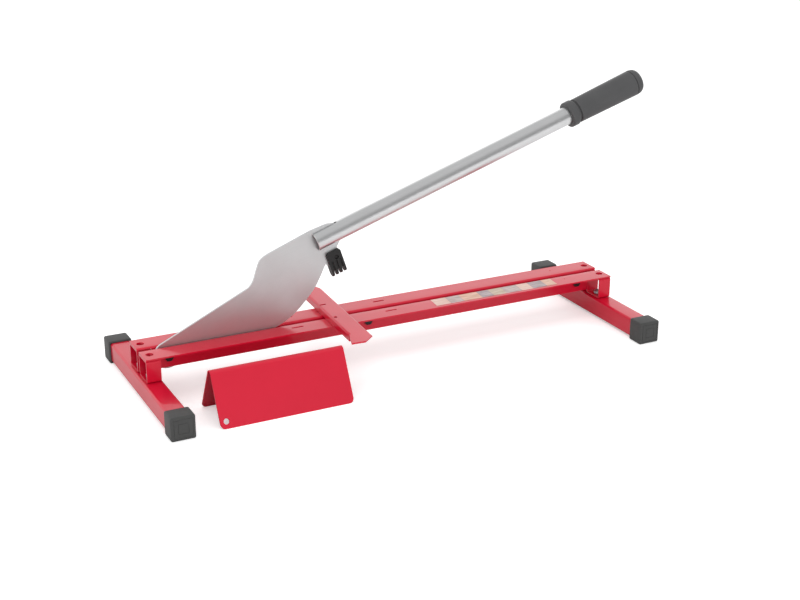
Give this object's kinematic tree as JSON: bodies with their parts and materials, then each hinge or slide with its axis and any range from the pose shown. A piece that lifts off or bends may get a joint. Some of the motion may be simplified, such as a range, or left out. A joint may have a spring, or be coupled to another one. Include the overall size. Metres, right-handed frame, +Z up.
{
  "type": "laminate cutter",
  "caption": "Bench laminate cutter: a lever blade shears boards through the slot between two rails on foot bars, with a lift-out board stop and a loose support.",
  "frame": {"origin": "centre of the bounding box, on the floor under the foot caps", "axes": "+X from the blade's pivot towards the handle's grip, +Y to the back, +Z up"},
  "size_m": [0.7218, 0.274, 0.3345],
  "materials": {
    "red_powder_coat": "glossy powder coat on steel",
    "blade_steel": "satin rolled steel plate",
    "tube_steel": "bright galvanised tube",
    "black_steel": "black oxide fasteners",
    "zinc_steel": "zinc plated",
    "cap_plastic": "moulded, fine matt texture",
    "grip_rubber": "moulded, satin"
  },
  "bodies": {
    "bench": {"foot_bar_left": "red_powder_coat", "foot_bar_right": "red_powder_coat", "foot_cap_left_front": "cap_plastic", "foot_cap_left_back": "cap_plastic", "foot_cap_right_front": "cap_plastic", "foot_cap_right_back": "cap_plastic", "post_left_front": "red_powder_coat", "post_left_back": "red_powder_coat", "post_right_front": "red_powder_coat", "post_right_back": "red_powder_coat", "post_screw_left_front": "zinc_steel", "post_screw_left_back": "zinc_steel", "post_screw_right_front": "zinc_steel", "post_screw_right_back": "zinc_steel", "post_nut_left_front": "zinc_steel", "post_nut_left_back": "zinc_steel", "post_nut_right_front": "zinc_steel", "post_nut_right_back": "zinc_steel", "rail_front": "red_powder_coat", "rail_back": "red_powder_coat", "pivot_bolt": "black_steel", "pivot_nut": "black_steel", "pivot_washer_front": "zinc_steel", "pivot_washer_back": "zinc_steel", "cross_bolt_mid": "black_steel", "cross_nut_mid": "black_steel", "cross_bolt_right": "black_steel", "cross_nut_right": "black_steel", "slot_spacer_mid": "zinc_steel", "slot_spacer_right": "zinc_steel", "board_support": "red_powder_coat"},
    "stop": {"board_stop": "red_powder_coat"},
    "arm": {"blade": "blade_steel", "handle_tube": "tube_steel", "grip": "grip_rubber", "bumper": "grip_rubber", "bumper_pin": "black_steel"}
  },
  "joints": [
    {"name": "arm_hinge", "type": "hinge", "parent": "bench", "child": "arm", "pos_m": [-0.31757, 0.00435, 0.046], "axis": [0, -1, 0], "range_deg": [-9.6, 60]},
    {"name": "stop_lift", "type": "slide", "parent": "bench", "child": "stop", "axis": [0, 0, 1], "range_m": [0, 0.005]}
  ]
}
